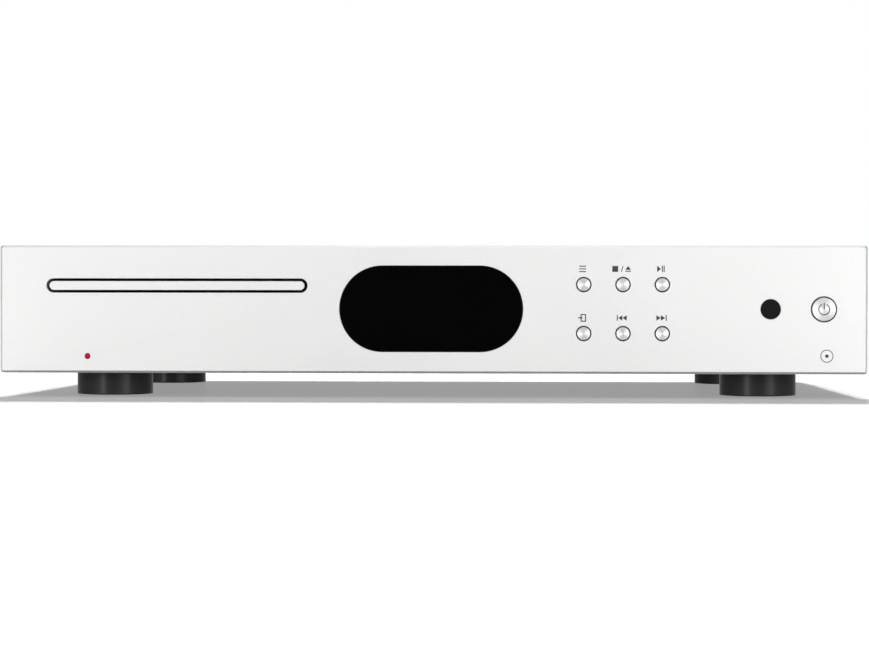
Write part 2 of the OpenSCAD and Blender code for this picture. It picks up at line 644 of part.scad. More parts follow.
// loader frame: floor, two walls with slides for the drawer, and a deck for the gears
frame_posts = [[frame_left + 6, frame_y0 + 8, frame_z], [frame_right - 8, frame_y0 + 8, frame_z],
               [frame_left + 6, frame_y1 - 7, frame_z], [frame_right - 8, frame_y1 - 7, frame_z],
               [-8, drive_y + 34, deck_z]];
post_pin_d = 3;
guide_pins = [[tray_x - 42, sub_y1 - 6], [tray_x + 42, sub_y1 - 6]];
module loader_frame() color([0.13, 0.13, 0.14]) {
  difference() {
    union() {
      block(frame_left, frame_right, frame_y0, frame_y1, frame_z, frame_z + frame_t);
      for (x = [frame_left, frame_right - 2.5]) block(x, x + 2.5, frame_y0, frame_y1, frame_z, frame_top);
      for (y = [frame_y0, frame_y1 - 2.5])
        block(frame_left, frame_right, y, y + 2.5, frame_z, tray_z0 - 2);
      slide_rail(frame_left, tray_left + 4);
      slide_rail(tray_right - 4, frame_right);
      deck_x0 = frame_right - 1;
      block(deck_x0, pulley_x + 2, drive_y - 12, drive_y + 40, deck_z, deck_z + deck_t);
      block(deck_x0, motor_x + 15, drive_y + 2, drive_y + 40, deck_z, deck_z + deck_t);
    }
    block(tray_x - sub_half - 1.5, tray_x + sub_half + 1.5, sub_y0 - 1.5, sub_y1 + 1.5,
          frame_z - 1, frame_z + frame_t + 1);
    bar_z(drive_x, drive_y, deck_z + deck_t, wheel_z + wheel_t + 0.6, 2 * (wheel_teeth * train_m / 2 + 1.4));
    bar_z(drive_x, drive_y, deck_z + deck_t, tray_z1 - 2, 11);
    bar_z(drive_x, drive_y, tray_z0 - 0.4, tray_z1 - 1.9, 2 * (drive_r + 1.4));
    bar_z(motor_x, pulley_y, deck_z - 1, deck_z + deck_t + 1, 7);
    for (p = frame_posts) bar_z(p[0], p[1], frame_z - 1, deck_z + deck_t + 1, screw_hole_d);
  }
  for (y = [cam_y - slide_gap - 1.8, cam_y + cam_t + slide_gap])
    block(tray_x - 60, tray_x + 52, y, y + 1.5, frame_z + frame_t - eps, frame_z + frame_t + 3);
  bar_z(drive_x, drive_y, deck_z + 1, tray_z0 + 2, post_pin_d);
  bar_z(pulley_x, pulley_y, deck_z + 1, belt_z + 3, post_pin_d);
  for (p = guide_pins) {
    bar_z(p[0], p[1], frame_z, sub_z + lift_travel + 3, 3);
    block(p[0] - (p[0] < tray_x ? 9 : 3), p[0] + (p[0] < tray_x ? 3 : 9), p[1] - 3, sub_y1 + 2,
          frame_z, frame_z + 2);
  }
}
module slide_rail(x0, x1) {
  block(x0, x1, frame_y0, frame_y1, tray_z0 - slide_gap - 2.5, tray_z0 - slide_gap);
  block(x0, x1, frame_y0, frame_y1, tray_z1 + slide_gap, frame_top);
}

module loader_screws() color("silver") for (p = frame_posts) {
  plate_t = p[2] == deck_z ? deck_t : frame_t;
  translate([p[0], p[1], p[2] + plate_t]) screw(5.6, 2, screw_d, plate_t);
}

// drawer: a flat tray with a disc recess, an open rear notch and a rack along its right edge
module tray() color([0.12, 0.12, 0.13]) {
  pitch = PI * rack_m;
  deep = (addendum + dedendum) * rack_m;
  last = floor((tray_travel + drive_r) / pitch);
  rack_z = tray_z0 + tray_h / 2 - 0.1;
  rack_start = drive_y - 3 * pitch - 2.6;
  difference() {
    block(tray_left, tray_right, panel_y + trim_t, tray_tail, tray_z0, tray_z1);
    block(rack_tip_x - deep, tray_right + eps, rack_start, tray_tail + eps, tray_z0 - eps, rack_z);
    bar_z(tray_x, disc_y, tray_z1 - recess_depth, tray_z1 + eps, recess_d);
    bar_z(tray_x, disc_y, tray_z1 - recess_depth - 1, tray_z1 + eps, 81);
    bar_z(tray_x, disc_y - 2, tray_z0 - eps, tray_z1 + eps, notch_w);
    block(tray_x - notch_w / 2, tray_x + notch_w / 2, disc_y - 2, tray_tail + eps,
          tray_z0 - eps, tray_z1 + eps);
  }
  rise(tray_z0, rack_z) translate([rack_tip_x, drive_y]) rack(rack_m, -2, last, 0.6);
}

module tray_trim() color("gainsboro")
  depth(panel_y, panel_y + trim_t) translate([tray_x, slot_z + 0.05]) pill(trim_w, trim_h);

module clamp_bridge() color("silver") difference() {
  union() {
    block(frame_left, frame_right, disc_y - 24, disc_y + 24, frame_top, frame_top + bridge_t);
    for (y = [-18, 18], x = [frame_left + 3, frame_right - 3])
      bar_z(x, disc_y + y, frame_top + bridge_t - 0.1, frame_top + bridge_t + 1.4, 5);
  }
  bar_z(tray_x, disc_y, frame_top - 1, frame_top + 3, 31);
}

// magnetic puck that hangs in the bridge by its flange
module clamp_puck() color([0.2, 0.2, 0.21]) translate([tray_x, disc_y, 0]) rotate_extrude() polygon([
  [0, tray_z1 + 4.2], [8, tray_z1 + 4.2], [8, tray_z1 + 1.8], [15, tray_z1 + 1.8],
  [15, frame_top + bridge_t + 0.1], [19, frame_top + bridge_t + 0.1],
  [19, frame_top + bridge_t + 1.4], [9, tray_z1 + 6.4], [0, tray_z1 + 6.4]
]);

// gear train of the drawer, each wheel on a post of the deck
module drive_gear() color("ivory") difference() {
  union() {
    rise(wheel_z, wheel_z + wheel_t) translate([drive_x, drive_y]) gear(wheel_teeth, train_m, drive_lead);
    bar_z(drive_x, drive_y, wheel_z, tray_z0 + 0.2, 9);
    rise(tray_z0 + 0.2, tray_z0 + tray_h / 2 - 0.3) translate([drive_x, drive_y])
      gear_gap(drive_teeth, rack_m, 180);
  }
  bar_z(drive_x, drive_y, wheel_z - 1, tray_z1, post_pin_d + 2 * run_gap);
}

module pulley_profile(r, z) polygon([
  [0, z - 1], [r + 1, z - 1], [r + 1, z - 0.4], [r - 0.4, z - 0.1], [r - 0.4, z + belt_t + 0.1],
  [r + 1, z + belt_t + 0.4], [r + 1, z + belt_t + 1], [0, z + belt_t + 1]
]);

module pulley_gear() color("ivory") difference() {
  union() {
    rise(wheel_z - 0.2, belt_z - 0.9) translate([pulley_x, pulley_y])
      gear_gap(pinion_teeth, train_m, drive_lead + 180);
    translate([pulley_x, pulley_y, 0]) rotate_extrude() pulley_profile(pulley_r, belt_z);
  }
  bar_z(pulley_x, pulley_y, wheel_z - 2, belt_z + 5, post_pin_d + 2 * run_gap);
}

// square-section belt on two pulleys
module belt_outline(grow) hull() {
  translate([pulley_x, pulley_y]) circle(r = pulley_r + grow, $fn = 48);
  translate([motor_x, pulley_y]) circle(r = motor_pulley_r + grow, $fn = 32);
}
module drive_belt() color([0.08, 0.08, 0.08]) rise(belt_z, belt_z + belt_t) difference() {
  belt_outline(belt_t - 0.3);
  belt_outline(-0.3);
}

module small_motor(x, y, top, d, h, shaft_top) {
  bar_z(x, y, top - h, top, d);
  bar_z(x, y, top, top + 1, 6);
  bar_z(x, y, top, shaft_top, 1.9);
  bar_z(x, y, top - h - 1.5, top - h, 7);
}

module loading_motor() color("silver")
  small_motor(motor_x, pulley_y, deck_z, 22, 21, belt_z + belt_t + 1);

module motor_pulley() color("goldenrod") translate([motor_x, pulley_y, 0]) difference() {
  rotate_extrude() pulley_profile(motor_pulley_r, belt_z);
  cylinder(d = 2, h = 100);
}

// upright plate with two sloping slots that raises the sub chassis as it slides
module lift_cam() color("ivory") difference() {
  block(tray_x - 56, tray_x + 38, cam_y, cam_y + cam_t, frame_z + frame_t + 0.3, sub_z + 8);
  for (s = [-1, 1]) depth(cam_y - eps, cam_y + cam_t + eps) translate([tray_x + s * 30, cam_pin_z])
    rotate(180 - atan(1 / cam_ratio)) cam_slot(lift_travel * sqrt(1 + cam_ratio * cam_ratio));
}
module cam_slot(reach) {
  w = cam_pin_d + 0.2;
  translate([0, -w / 2]) square([reach, w]);
  for (x = [0, reach]) translate([x, 0]) circle(d = w);
}

// plate that carries the spindle and the pickup, with a shelf for the feed gears
module sub_chassis() color([0.3, 0.3, 0.32]) {
  wall_x = tray_x + sub_half;
  difference() {
    union() {
      block(tray_x - sub_half, wall_x, sub_y0, sub_y1, sub_z, sub_z + sub_t);
      block(tray_x - 42, tray_x + 40, sub_y0, sub_y0 + 3, cam_pin_z - 3, sub_z + sub_t);
      block(feed_x - 4, wall_x, feed_y - 16, feed_y + 15, shelf_z, shelf_z + shelf_t);
      block(wall_x - 2, wall_x, feed_y - 16, feed_y + 15, shelf_z, sub_z + eps);
      for (y = [feed_y - 16, feed_y + 13]) block(feed_x - 4, wall_x, y, y + 2, shelf_z, sub_z + eps);
      for (x = [-11, 11], y = [disc_y + 7.5, disc_y + 72])
        block(tray_x + x - 3, tray_x + x + 3, y, y + 2, sub_z - 3.3, sub_z + eps);
      bar_z(feed_x, feed_y, shelf_z + 1, sub_z + eps, 2);
    }
    block(tray_x - 18, tray_x + 18, disc_y + 9.5, disc_y + 72, sub_z - eps, sub_z + sub_t + eps);
    bar_z(tray_x, disc_y, sub_z - eps, sub_z + sub_t + eps, 12);
    for (x = [-11, 11]) bar_y(tray_x + x, sub_z - 1.3, disc_y + 6, disc_y + 75, 2.5);
    bar_z(feed_motor_x, feed_y, shelf_z - 1, shelf_z + shelf_t + 1, 6.4);
    for (p = guide_pins) bar_z(p[0], p[1], sub_z - 1, sub_z + sub_t + 1, 3.2);
  }
  for (s = [-1, 1]) bar_y(tray_x + s * 30, cam_pin_z, cam_y - 0.5, sub_y0 + 1, cam_pin_d);
}

module spindle_motor() color("silver") difference() {
  bar_z(tray_x, disc_y, shelf_z, sub_z, 22);
  bar_z(tray_x, disc_y, shelf_z + 1, sub_z + 1, 2 + 2 * run_gap);
}

module turntable() color([0.2, 0.2, 0.21]) translate([tray_x, disc_y, 0]) {
  translate([0, 0, shelf_z + 1.5]) cylinder(d = 2, h = sub_z + 4 - shelf_z - 1.5);
  translate([0, 0, sub_z + 3]) cylinder(d = 10, h = table_z - sub_z - 4);
  translate([0, 0, table_z - 3]) cylinder(d = table_d, h = 3);
  translate([0, 0, table_z]) cylinder(d1 = 14.9, d2 = 12, h = 2.2);
}

// pickup: a block on two rods with a rack, a lens frame and its lens
module pickup_sled() color([0.2, 0.2, 0.22]) {
  difference() {
    union() {
      block(tray_x - sled_half, tray_x + sled_half, lens_y - 10, lens_y + 10, sub_z - 3, sub_z + 4);
      block(tray_x - 9, tray_x + 9, lens_y - 8, lens_y + 8, sub_z + 3, sub_z + 7.4);
    }
    for (x = [-11, 11]) bar_y(tray_x + x, sub_z - 1.3, lens_y - 11, lens_y + 11, 2.5 + 2 * run_gap);
    bar_z(tray_x, lens_y, sub_z + 4, sub_z + 9, 7);
  }
  bar_z(tray_x, lens_y, sub_z + 3.5, sub_z + 8, 6);
  last = 1;
  first = -floor(sled_travel / (PI * train_m)) - 2;
  rise(sub_z - 3, sub_z - 0.6) translate([sled_tip_x, feed_y]) rack(train_m, first, last, 2.4);
}

module guide_rods() color("silver") for (x = [-11, 11])
  bar_y(tray_x + x, sub_z - 1.3, disc_y + 7.5, disc_y + 74, 2.5);

module feed_gear() color("ivory") difference() {
  union() {
    rise(feed_wheel_z, sub_z - 3.6) translate([feed_x, feed_y]) gear(feed_wheel_teeth, train_m);
    rise(sub_z - 3.7, sub_z - 0.4) translate([feed_x, feed_y]) gear_gap(feed_teeth, train_m, 180);
  }
  bar_z(feed_x, feed_y, shelf_z, sub_z + 1, 2 + 2 * run_gap);
}

module feed_motor() color("silver")
  small_motor(feed_motor_x, feed_y, shelf_z, 15, 12, sub_z - 3);

module feed_pinion() color("goldenrod") difference() {
  rise(feed_wheel_z, sub_z - 3.8) translate([feed_motor_x, feed_y])
    gear_gap(feed_pinion_teeth, train_m, 180);
  bar_z(feed_motor_x, feed_y, shelf_z, sub_z + 1, 2);
}

fascia();
display_window();
sensor_window();
lamp_lens();
button_menu();
button_stop_eject();
button_play_pause();
button_input();
button_previous();
button_next();
power_button();
front_subpanel();
bottom_pan();
top_cover();
rear_panel();
case_screws();
foot_front_left();
foot_front_right();
foot_rear_left();
foot_rear_right();
foot_pads();
foot_screws();
display_module();
front_board();
mains_inlet();
fuse_drawer();
mains_switch();
mains_rocker();
coax_socket();
optical_socket();
optical_shutter();
usb_socket();
trigger_jacks();
transformer();
transformer_clamp();
psu_board();
psu_parts();
main_board();
main_board_parts();
wiring();
loader_frame();
loader_screws();
tray();
tray_trim();
clamp_bridge();
clamp_puck();
drive_gear();
pulley_gear();
drive_belt();
loading_motor();
motor_pulley();
lift_cam();
sub_chassis();
spindle_motor();
turntable();
pickup_sled();
guide_rods();
feed_gear();
feed_motor();
feed_pinion();
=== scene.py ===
"""Looks of the disc player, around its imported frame. Lengths are in metres."""
import json
import math

import bmesh
import bpy
from mathutils import Matrix, Vector


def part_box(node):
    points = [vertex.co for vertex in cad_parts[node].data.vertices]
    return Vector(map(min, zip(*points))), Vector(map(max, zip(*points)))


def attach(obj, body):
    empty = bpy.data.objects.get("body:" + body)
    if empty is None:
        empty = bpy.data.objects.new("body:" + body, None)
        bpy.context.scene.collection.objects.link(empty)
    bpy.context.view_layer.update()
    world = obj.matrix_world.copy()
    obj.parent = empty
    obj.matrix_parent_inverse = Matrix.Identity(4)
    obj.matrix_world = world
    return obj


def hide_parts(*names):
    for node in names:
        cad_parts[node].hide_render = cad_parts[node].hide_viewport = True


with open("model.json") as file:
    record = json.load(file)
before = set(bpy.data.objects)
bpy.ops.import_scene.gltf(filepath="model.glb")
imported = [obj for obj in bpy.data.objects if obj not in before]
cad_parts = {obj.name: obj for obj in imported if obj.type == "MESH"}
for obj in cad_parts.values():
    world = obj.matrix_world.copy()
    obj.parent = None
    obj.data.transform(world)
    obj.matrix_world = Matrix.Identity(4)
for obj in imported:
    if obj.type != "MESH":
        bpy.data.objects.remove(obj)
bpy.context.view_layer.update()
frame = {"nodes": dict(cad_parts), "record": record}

MM = 0.001
nodes = frame["nodes"]


# ---------------------------------------------------------------- places from the frame

def middle(node):
    low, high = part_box(node)
    return (low + high) / 2


fascia_low, fascia_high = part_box("fascia")
PANEL_FRONT = fascia_low.y
PANEL_BACK = fascia_high.y
PANEL_MID = middle("fascia")
PANEL_W = fascia_high.x - fascia_low.x
PANEL_H = fascia_high.z - fascia_low.z
CORNER_R = 1.7 * MM               # corners of the panel's outline
CHAMFER = 1.15 * MM               # flat edge around the panel's front
HOLE_EDGE = 0.1 * MM              # broken edge of the holes in the panel
SLOT_W, SLOT_H = 134.8 * MM, 7.3 * MM
PANE_GAP = 0.1 * MM               # around the display window
SENSOR_D = 10.4 * MM
LAMP_D = 3.0 * MM
KEYS = ["button_menu", "button_stop_eject", "button_play_pause",
        "button_input", "button_previous", "button_next"]
KEY_D, KEY_HOLE_D = 6.6 * MM, 7.9 * MM
POWER_D, POWER_HOLE_D = 11.9 * MM, 13.3 * MM
DISC_MARK_X, DISC_MARK_Z = 201.5 * MM, 21.7 * MM
FLAT = 0.9999                     # a face's normal this close to an axis faces along it


# ---------------------------------------------------------------- material helpers

class Nodes:
    """A small builder for one node tree."""

    def __init__(self, tree):
        self.tree = tree

    def add(self, kind, **settings):
        node = self.tree.nodes.new(kind)
        for key, value in settings.items():
            setattr(node, key, value)
        return node

    def set(self, node, socket, value):
        node.inputs[socket].default_value = value

    def link(self, source, target):
        self.tree.links.new(source, target)

    def ramp(self, value, low, high, start=0.3, end=0.7, smooth=False):
        """Maps value between start and end to a number between low and high."""
        kind = "SMOOTHSTEP" if smooth else "LINEAR"
        node = self.add("ShaderNodeMapRange", interpolation_type=kind)
        limits = {"From Min": start, "From Max": end, "To Min": low, "To Max": high}
        for key, number in limits.items():
            self.set(node, key, number)
        self.link(value, node.inputs["Value"])
        return node.outputs["Result"]

    def maths(self, operation, a, b):
        """One step of arithmetic on two sockets or numbers."""
        node = self.add("ShaderNodeMath", operation=operation)
        for i, value in enumerate((a, b)):
            if isinstance(value, (int, float)):
                self.set(node, i, value)
            else:
                self.link(value, node.inputs[i])
        return node.outputs["Value"]


class Shader(Nodes):
    """A builder for one material around the Principled shader."""

    def __init__(self, name, color, metallic=0.0, roughness=0.5, **sockets):
        self.mat = bpy.data.materials.new(name)
        self.mat.use_nodes = True
        super().__init__(self.mat.node_tree)
        self.bsdf = self.tree.nodes["Principled BSDF"]
        self.set(self.bsdf, "Base Color", (*color, 1.0))
        self.set(self.bsdf, "Metallic", metallic)
        self.set(self.bsdf, "Roughness", roughness)
        for key, value in sockets.items():
            self.set(self.bsdf, key.replace("_", " "), value)
        self.color = color
        self.coords = self.add("ShaderNodeTexCoord").outputs["Object"]

    def mapped(self, location=(0, 0, 0), scale=(1, 1, 1)):
        """The object's coordinates, moved and scaled."""
        node = self.add("ShaderNodeMapping")
        self.set(node, "Location", location)
        self.set(node, "Scale", scale)
        self.link(self.coords, node.inputs["Vector"])
        return node.outputs["Vector"]

    def noise(self, scale, detail=3.0, roughness=0.6, vector=None):
        node = self.add("ShaderNodeTexNoise")
        self.set(node, "Scale", scale)
        self.set(node, "Detail", detail)
        self.set(node, "Roughness", roughness)
        self.link(vector or self.coords, node.inputs["Vector"])
        return node.outputs["Fac"]

    def tint(self, value, dark, light):
        """Colours the surface between two multiples of its base colour."""
        node = self.add("ShaderNodeMix", data_type="RGBA")
        for socket in node.inputs:
            if socket.type == "RGBA":
                share = dark if socket.name == "A" else light
                socket.default_value = (*[min(1, c * share) for c in self.color], 1)
        self.link(value, node.inputs["Factor"])
        color_out = [o for o in node.outputs if o.type == "RGBA"][0]
        self.link(color_out, self.bsdf.inputs["Base Color"])

    def rough(self, value, low, high):
        """Lets the roughness drift between low and high."""
        self.link(self.ramp(value, low, high), self.bsdf.inputs["Roughness"])

    def bump(self, value, strength, distance=0.0002):
        """Raises the surface by value times distance."""
        node = self.add("ShaderNodeBump")
        self.set(node, "Strength", strength)
        self.set(node, "Distance", distance)
        self.link(value, node.inputs["Height"])
        self.link(node.outputs["Normal"], self.bsdf.inputs["Normal"])


def grained(name, color, metallic, roughness, grain, depth, spread=0.08, **sockets):
    """A surface with a fine grain and slow drifts of tone."""
    s = Shader(name, color, metallic, roughness, **sockets)
    fine = s.noise(grain, 2.0)
    slow = s.noise(14.0, 3.0)
    s.tint(slow, 1 - spread / 2, 1 + spread / 2)
    s.rough(slow, roughness - 0.04, roughness + 0.05)
    s.bump(fine, depth)
    return s.mat


# ---------------------------------------------------------------- materials

def spun_metal(name, centre, color=(0.86, 0.86, 0.85)):
    """Turned aluminium: rings of tool marks around an axis along Y through centre."""
    s = Shader(name, color, 0.85, 0.45, Anisotropic=0.8, Anisotropic_Rotation=0.25)
    where = s.mapped(location=(-centre.x, 0, -centre.z))
    rings = s.add("ShaderNodeTexWave", wave_type="RINGS", rings_direction="Y")
    s.set(rings, "Scale", 1900.0)
    s.set(rings, "Distortion", 0.4)
    s.link(where, rings.inputs["Vector"])
    s.bump(rings.outputs["Fac"], 0.25, 0.00002)
    s.tint(s.noise(300.0, 2.0, vector=where), 0.94, 1.03)
    tangent = s.add("ShaderNodeTangent", direction_type="RADIAL", axis="Y")
    s.link(tangent.outputs["Tangent"], s.bsdf.inputs["Tangent"])
    return s.mat


def brushed(name, color, roughness=0.35):
    """Rolled sheet metal with a faint grain along X."""
    s = Shader(name, color, 1.0, roughness)
    streaks = s.noise(60.0, 4.0, vector=s.mapped(scale=(1, 30, 30)))
    s.tint(streaks, 0.9, 1.06)
    s.rough(streaks, roughness - 0.06, roughness + 0.08)
    s.bump(streaks, 0.08, 0.00005)
    return s.mat


def circuit(name):
    """Green solder resist with faint tracks."""
    s = Shader(name, (0.012, 0.11, 0.04), 0.0, 0.32, Coat_Weight=0.4)
    cells = s.add("ShaderNodeTexBrick")
    s.set(cells, "Scale", 90.0)
    s.set(cells, "Mortar Size", 0.03)
    s.link(s.coords, cells.inputs["Vector"])
    s.tint(cells.outputs["Fac"], 0.85, 1.8)
    s.bump(cells.outputs["Fac"], 0.3, 0.00005)
    return s.mat


def anodised():
    """Bead-blasted, clear anodised aluminium: a very fine sparkle and slow drifts."""
    s = Shader("panel_aluminium", (0.84, 0.84, 0.835), 0.7, 0.5)
    fine = s.noise(5200.0, 2.0)
    speck = s.noise(1500.0, 2.0)
    slow = s.noise(9.0, 2.0)
    s.tint(speck, 0.95, 1.05)
    s.rough(slow, 0.47, 0.54)
    s.bump(fine, 0.25, 0.00004)
    return s.mat


def gloss_black(name, shade=0.0012, specular=0.15):
    s = Shader(name, (shade, shade, shade * 1.1), 0.0, 0.07, Specular_IOR_Level=specular)
    haze = s.noise(40.0, 3.0)
    s.tint(haze, 0.8, 1.4)
    s.rough(haze, 0.05, 0.1)
    return s.mat


def make_materials():
    dark = (0.020, 0.020, 0.022)
    return {
        "panel_aluminium": anodised(),
        "edge_aluminium": brushed("edge_aluminium", (0.80, 0.80, 0.795), 0.13),
        "window_black": gloss_black("window_black"),
        "sensor_grey": gloss_black("sensor_grey", 0.012, 0.3),
        "lamp_red": grained("lamp_red", (0.52, 0.008, 0.05), 0.0, 0.3, 900, 0.05,
                            Specular_IOR_Level=0.1),
        "cover_paint": grained("cover_paint", (0.52, 0.52, 0.515), 0.2, 0.5, 2600, 0.3),
        "rear_paint": grained("rear_paint", (0.52, 0.52, 0.515), 0.2, 0.5, 2600, 0.3),
        "chassis_steel": brushed("chassis_steel", (0.56, 0.57, 0.58)),
        "screw_steel": brushed("screw_steel", (0.60, 0.60, 0.61), 0.28),
        "foot_plastic": grained("foot_plastic", (0.024, 0.024, 0.025), 0.0, 0.26, 2200, 0.1,
                                Specular_IOR_Level=0.07),
        "pad_rubber": grained("pad_rubber", (0.012, 0.012, 0.012), 0.0, 0.8, 1500, 0.3),
        "display_plastic": gloss_black("display_plastic"),
        "circuit_board": circuit("circuit_board"),
        "black_plastic": grained("black_plastic", dark, 0.0, 0.42, 2400, 0.2),
        "frame_plastic": grained("frame_plastic", dark, 0.0, 0.5, 1800, 0.25),
        "tray_plastic": grained("tray_plastic", (0.016, 0.016, 0.018), 0.0, 0.46, 2600, 0.25),
        "socket_gold": brushed("socket_gold", (0.86, 0.62, 0.24), 0.2),
        "socket_nickel": brushed("socket_nickel", (0.74, 0.73, 0.71), 0.22),
        "winding_tape": grained("winding_tape", (0.45, 0.20, 0.05), 0.0, 0.35, 700, 0.4),
        "component_black": grained("component_black", (0.02, 0.02, 0.025), 0.0, 0.35, 900, 0.15),
        "wire_plastic": grained("wire_plastic", (0.16, 0.16, 0.155), 0.0, 0.5, 1100, 0.2),
        "gear_plastic": grained("gear_plastic", (0.70, 0.66, 0.55), 0.0, 0.38, 1500, 0.12),
        "motor_steel": brushed("motor_steel", (0.60, 0.60, 0.61), 0.3),
        "pulley_brass": brushed("pulley_brass", (0.78, 0.58, 0.26), 0.25),
        "mechanism_plastic": grained("mechanism_plastic", (0.035, 0.035, 0.04), 0.0, 0.45,
                                     1700, 0.2),
        "turned_aluminium": brushed("turned_aluminium", (0.80, 0.80, 0.79)),
        "print_grey": grained("print_grey", (0.036, 0.036, 0.04), 0.0, 0.6, 3000, 0.1),
    }


MATERIALS = make_materials()
SLOT_OF = {row["node"]: row["material_slot"] for row in frame["record"]["subparts"]}


def wear(obj, material):
    obj.data.materials.clear()
    obj.data.materials.append(material)


def dress_cad_nodes():
    for name, obj in nodes.items():
        wear(obj, MATERIALS[SLOT_OF[name]])


dress_cad_nodes()


# ---------------------------------------------------------------- mesh helpers

def add_piece(name, mesh, body, slot, material=None, replaces=()):
    obj = bpy.data.objects.new(name, mesh)
    bpy.context.scene.collection.objects.link(obj)
    obj.modifiers.new("normals", "WEIGHTED_NORMAL").keep_sharp = True
    wear(obj, material or MATERIALS[slot])
    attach(obj, body)
    if replaces:
        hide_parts(*replaces)
    return obj


def smooth(mesh, angle=35):
    mesh.shade_smooth()
    mesh.set_sharp_from_angle(angle=math.radians(angle))


def ring(x, z, r, count=96):
    """A circle's points in the panel's plane."""
    return [(x + r * math.cos(a), z + r * math.sin(a))
            for a in (2 * math.pi * i / count for i in range(count))]


def arc_corners(x, z, w, h, r, count):
    """A rectangle with round corners, centred on x, z; r of half the height makes a stadium."""
    points = []
    for i, (sx, sz) in enumerate([(1, 1), (-1, 1), (-1, -1), (1, -1)]):
        for k in range(count + 1):
            a = math.pi / 2 * (i + k / count)
            points.append((x + sx * (w / 2 - r) + r * math.cos(a),
                           z + sz * (h / 2 - r) + r * math.sin(a)))
    return points


def pill(x, z, w, h, count=40):
    return arc_corners(x, z, w, h, h / 2 - 1e-6, count)


def front_plate(name, outer, holes, y_front, y_back, bevel, steps=3):
    """A plate parallel to the panel with rounded edges around its outline and holes."""
    curve = bpy.data.curves.new(name, "CURVE")
    curve.dimensions = "2D"
    curve.fill_mode = "BOTH"
    curve.extrude = (y_back - y_front) / 2 - bevel
    curve.bevel_depth = bevel
    curve.bevel_resolution = steps
    curve.offset = -bevel
    for points in [outer] + [hole[::-1] for hole in holes]:
        spline = curve.splines.new("POLY")
        spline.points.add(len(points) - 1)
        for point, (x, z) in zip(spline.points, points):
            point.co = (x, z, 0, 1)
        spline.use_cyclic_u = True
    temporary = bpy.data.objects.new(name, curve)
    bpy.context.scene.collection.objects.link(temporary)
    bpy.context.view_layer.update()
    final = temporary.evaluated_get(bpy.context.evaluated_depsgraph_get())
    mesh = bpy.data.meshes.new_from_object(final)
    bpy.data.objects.remove(temporary)
    upright = Matrix.Rotation(math.pi / 2, 4, "X")
    mesh.transform(Matrix.Translation((0, (y_front + y_back) / 2, 0)) @ upright)
    welded = bmesh.new()
    welded.from_mesh(mesh)
    bmesh.ops.remove_doubles(welded, verts=welded.verts, dist=1e-7)
    bmesh.ops.recalc_face_normals(welded, faces=welded.faces)
    welded.to_mesh(mesh)
    welded.free()
    smooth(mesh)
    for face in mesh.polygons:
        face.use_smooth = abs(face.normal.y) < FLAT    # so that the wide flat faces reflect evenly
    return mesh


def cut_chamfer(mesh, centre, w, h, r, size):
    """Turns the small bevel around the front of a plate's outline, a rectangle with corners
    of radius r, into a flat chamfer with the mesh's second material."""
    y_front = min(vert.co.y for vert in mesh.vertices)
    for vert in mesh.vertices:
        x, z = vert.co.x - centre.x, vert.co.z - centre.z
        core_x = max(r - w / 2, min(w / 2 - r, x))
        core_z = max(r - h / 2, min(h / 2 - r, z))
        outward = Vector((x - core_x, 0, z - core_z))
        if outward.length < r / 2 or vert.co.y > centre.y:
            continue
        if vert.co.y < y_front + 1e-6:
            vert.co -= outward.normalized() * (outward.length - r + size)
        else:
            vert.co.y = y_front + size
    mesh.update()
    for face in mesh.polygons:
        x, z = face.center.x - centre.x, face.center.z - centre.z
        on_rim = abs(x) > w / 2 - size or abs(z) > h / 2 - size
        slopes = 0.4 < -face.normal.y < 0.9
        if on_rim and slopes:
            face.material_index = 1


def turned(profile, centre, axis="Y", count=96):
    """A solid of revolution. The profile's points are (distance from axis, place along axis)."""
    bm = bmesh.new()
    rings = []
    for r, along in profile:
        loop = []
        for i in range(count if r > 1e-9 else 1):
            a = 2 * math.pi * i / count
            u, v = r * math.cos(a), r * math.sin(a)
            if axis == "Y":
                point = (centre.x + u, along, centre.z + v)
            else:
                point = (centre.x + u, centre.y + v, along)
            loop.append(bm.verts.new(point))
        rings.append(loop)
    for a, b in zip(rings, rings[1:]):
        for i in range(count):
            corners = [a[i % len(a)], a[(i + 1) % len(a)], b[(i + 1) % len(b)], b[i % len(b)]]
            unique = list(dict.fromkeys(corners))
            if len(unique) > 2:
                bm.faces.new(unique)
    bmesh.ops.recalc_face_normals(bm, faces=bm.faces)
    mesh = bpy.data.meshes.new("turned")
    bm.to_mesh(mesh)
    bm.free()
    smooth(mesh, 40)
    return mesh


def round_over(r, y_face, y_back, edge, steps=4):
    """Profile of a disc-faced cylinder whose front edge is rounded."""
    profile = [(0, y_face)]
    for k in range(steps + 1):
        a = math.pi / 2 * k / steps
        profile.append((r - edge + edge * math.sin(a), y_face + edge - edge * math.cos(a)))
    return profile + [(r, y_back), (0, y_back)]


def soften(node, width, angle=35, steps=2):
    """Rounds the edges of a CAD node, whose mesh itself stays as packed."""
    obj = nodes[node]
    merge = obj.modifiers.new("merge", "DECIMATE")
    merge.decimate_type = "DISSOLVE"
    merge.angle_limit = math.radians(1.5)
    bevel = obj.modifiers.new("edges", "BEVEL")
    bevel.width = width
    bevel.segments = steps
    bevel.limit_method = "ANGLE"
    bevel.angle_limit = math.radians(angle)
    bevel.harden_normals = False
    normals = obj.modifiers.new("normals", "WEIGHTED_NORMAL")
    normals.keep_sharp = True


# ---------------------------------------------------------------- front panel

